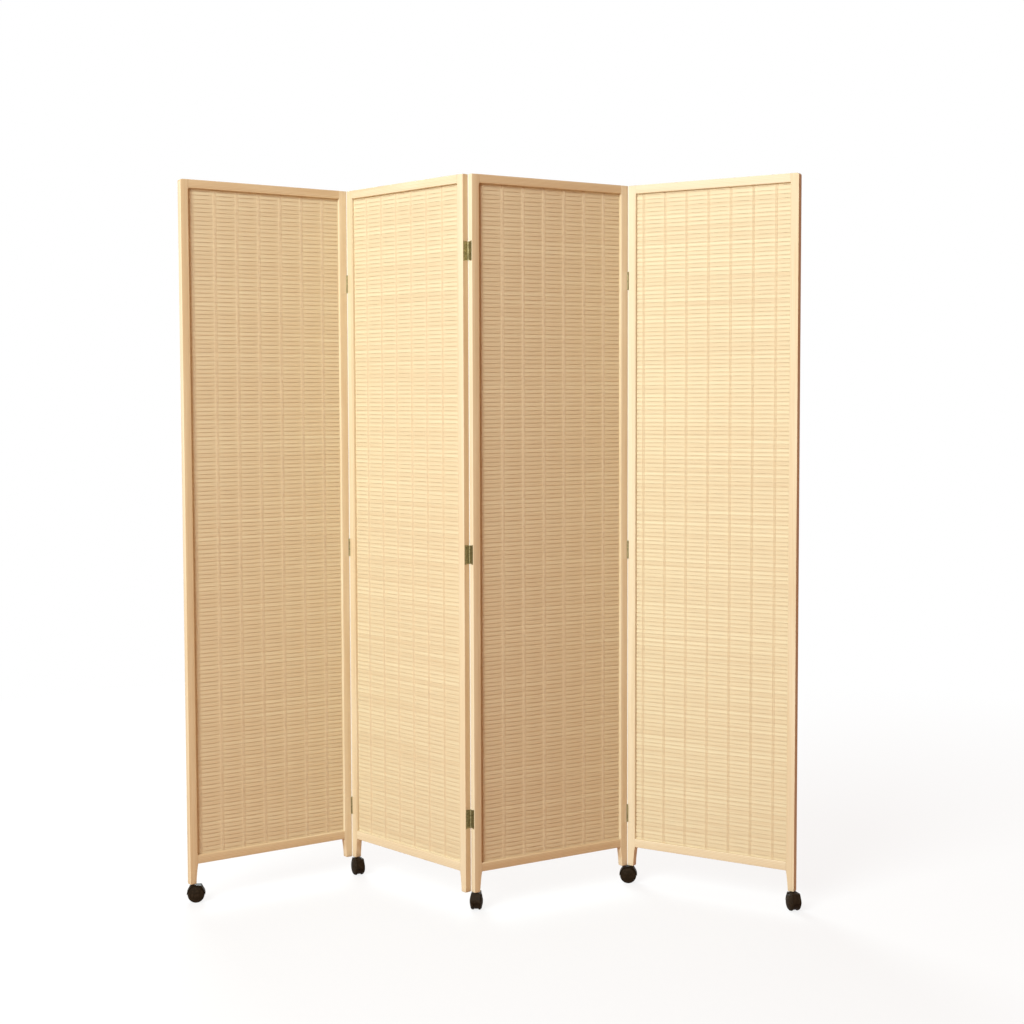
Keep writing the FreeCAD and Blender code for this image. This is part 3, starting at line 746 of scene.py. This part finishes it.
# Hinges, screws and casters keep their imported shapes

def paint(node, material):
    """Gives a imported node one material."""
    data = nodes[node].data
    data.materials.clear()
    data.materials.append(material)


for name in nodes:
    if name.startswith("hinge_"):
        paint(name, BRASS)
    elif name.endswith("_stem") or name.endswith("_axle"):
        paint(name, STEEL)
    elif name.endswith("_hood"):
        paint(name, HOOD)
    elif "_wheel_" in name:
        paint(name, WHEEL)


# Stage, light and camera

WHITE = (1.0, 1.0, 1.0, 1.0)
FLOOR_REACH = 6.0
FLOOR_COLOUR = (0.80, 0.80, 0.80)
FLOOR_BOUNCE = (0.47, 0.28, 0.17)
FLOOR_GLOW = (0.80, 1.0)
FLOOR_FADE = (1.2, 3.5)
KEY_PLACE = (-2.45, -4.25, 3.5)
KEY_SIZE = 3.2
KEY_POWER = 425.0
KEY_COLOUR = (0.85, 0.985, 1.0)
REAR_PLACE = (-1.5, 4.5, 3.0)
REAR_SIZE = 2.6
REAR_POWER = 330.0
REAR_COLOUR = (0.82, 0.96, 1.0)
LAMP_AIM = (0.0, 0.0, 0.85)
AMBIENT = (1.0, 0.43, 0.21)
AMBIENT_LEVEL = 0.40

FOCAL_PIXELS = 1744.0
IMAGE_PIXELS = 1024
SENSOR = 36.0
CAMERA_PLACE = (0.04574, -4.26260, 1.21602)
CAMERA_PITCH = math.radians(3.634)
CAMERA_YAW = math.radians(-0.1274)
CAMERA_ROLL = math.radians(-0.1705)


def seen_directly(tree):
    """1 for rays from the camera, in a mirror or through glass."""
    path = add(tree, "ShaderNodeLightPath")
    shown = maths(tree, "MAXIMUM", path.outputs["Is Camera Ray"], path.outputs["Is Glossy Ray"])
    return maths(tree, "MAXIMUM", shown, path.outputs["Is Transmission Ray"])


def make_floor():
    """A pale floor that keeps the screen's shadow and fades to white further off, with a warm bounce."""
    material, tree, output = new_material("floor")
    pale = add(tree, "ShaderNodeBsdfDiffuse", {"Color": (*FLOOR_COLOUR, 1.0)})
    warm = add(tree, "ShaderNodeBsdfDiffuse", {"Color": (*FLOOR_BOUNCE, 1.0)})
    white = add(tree, "ShaderNodeEmission", {"Color": WHITE, "Strength": 1.0})
    place = add(tree, "ShaderNodeTexCoord").outputs["Object"]
    away = add(tree, "ShaderNodeVectorMath", {0: place}, operation="LENGTH").outputs["Value"]
    share = spread(tree, away, FLOOR_FADE, FLOOR_GLOW)
    shown = add(tree, "ShaderNodeMixShader",
                {0: share, 1: pale.outputs["BSDF"], 2: white.outputs["Emission"]})
    both = add(tree, "ShaderNodeMixShader",
               {0: seen_directly(tree), 1: warm.outputs["BSDF"], 2: shown.outputs["Shader"]})
    tree.links.new(both.outputs["Shader"], output.inputs["Surface"])
    mesh = bpy.data.meshes.new("floor")
    corners = [(x * FLOOR_REACH, y * FLOOR_REACH, 0) for x, y in ((-1, -1), (1, -1), (1, 1), (-1, 1))]
    mesh.from_pydata(corners, [], [(0, 1, 2, 3)])
    mesh.materials.append(material)
    floor = bpy.data.objects.new("floor", mesh)
    bpy.context.scene.collection.objects.link(floor)


def make_world():
    """A weak warm surround that the camera sees as white."""
    world = bpy.data.worlds.new("surround")
    bpy.context.scene.world = world
    world.use_nodes = True
    tree = world.node_tree
    tree.nodes.clear()
    output = tree.nodes.new("ShaderNodeOutputWorld")
    dim = add(tree, "ShaderNodeBackground", {"Color": (*AMBIENT, 1.0), "Strength": AMBIENT_LEVEL})
    white = add(tree, "ShaderNodeBackground", {"Color": WHITE, "Strength": 1.0})
    both = add(tree, "ShaderNodeMixShader",
               {0: seen_directly(tree), 1: dim.outputs["Background"], 2: white.outputs["Background"]})
    tree.links.new(both.outputs["Shader"], output.inputs["Surface"])


def facing(place, aim):
    """A matrix at place with its -Z axis towards aim."""
    place, aim = np.array(place), np.array(aim)
    back = (place - aim) / np.linalg.norm(place - aim)
    right = np.cross((0, 0, 1), back)
    right = right / np.linalg.norm(right)
    up = np.cross(back, right)
    matrix = np.eye(4)
    matrix[:3, 0], matrix[:3, 1], matrix[:3, 2], matrix[:3, 3] = right, up, back, place
    return Matrix(matrix.tolist())


def make_lamp(name, place, size, power, colour):
    """A round soft lamp that faces the screen's middle and is not seen itself."""
    lamp = bpy.data.lights.new(name, "AREA")
    lamp.shape = "DISK"
    lamp.size = size
    lamp.energy = power
    lamp.color = colour
    holder = bpy.data.objects.new(name, lamp)
    holder.matrix_world = facing(place, LAMP_AIM)
    holder.visible_camera = False
    bpy.context.scene.collection.objects.link(holder)


def make_camera():
    """The camera at the photograph's viewpoint: its axes from pitch, yaw and roll."""
    camera = bpy.data.cameras.new("camera")
    camera.sensor_width = SENSOR
    camera.lens = FOCAL_PIXELS * SENSOR / IMAGE_PIXELS
    right = np.array((math.cos(CAMERA_YAW), math.sin(CAMERA_YAW), 0))
    level = np.array((-math.sin(CAMERA_YAW), math.cos(CAMERA_YAW), 0))
    upright = np.array((0, 0, 1))
    ahead = level * math.cos(CAMERA_PITCH) - upright * math.sin(CAMERA_PITCH)
    up = level * math.sin(CAMERA_PITCH) + upright * math.cos(CAMERA_PITCH)
    matrix = np.eye(4)
    matrix[:3, 0] = right * math.cos(CAMERA_ROLL) + up * math.sin(CAMERA_ROLL)
    matrix[:3, 1] = up * math.cos(CAMERA_ROLL) - right * math.sin(CAMERA_ROLL)
    matrix[:3, 2] = -ahead
    matrix[:3, 3] = CAMERA_PLACE
    holder = bpy.data.objects.new("camera", camera)
    holder.matrix_world = Matrix(matrix.tolist())
    bpy.context.scene.collection.objects.link(holder)
    bpy.context.scene.camera = holder


make_floor()
make_world()
make_lamp("key", KEY_PLACE, KEY_SIZE, KEY_POWER, KEY_COLOUR)
make_lamp("rear", REAR_PLACE, REAR_SIZE, REAR_POWER, REAR_COLOUR)
make_camera()
bpy.context.scene.view_settings.view_transform = "Standard"
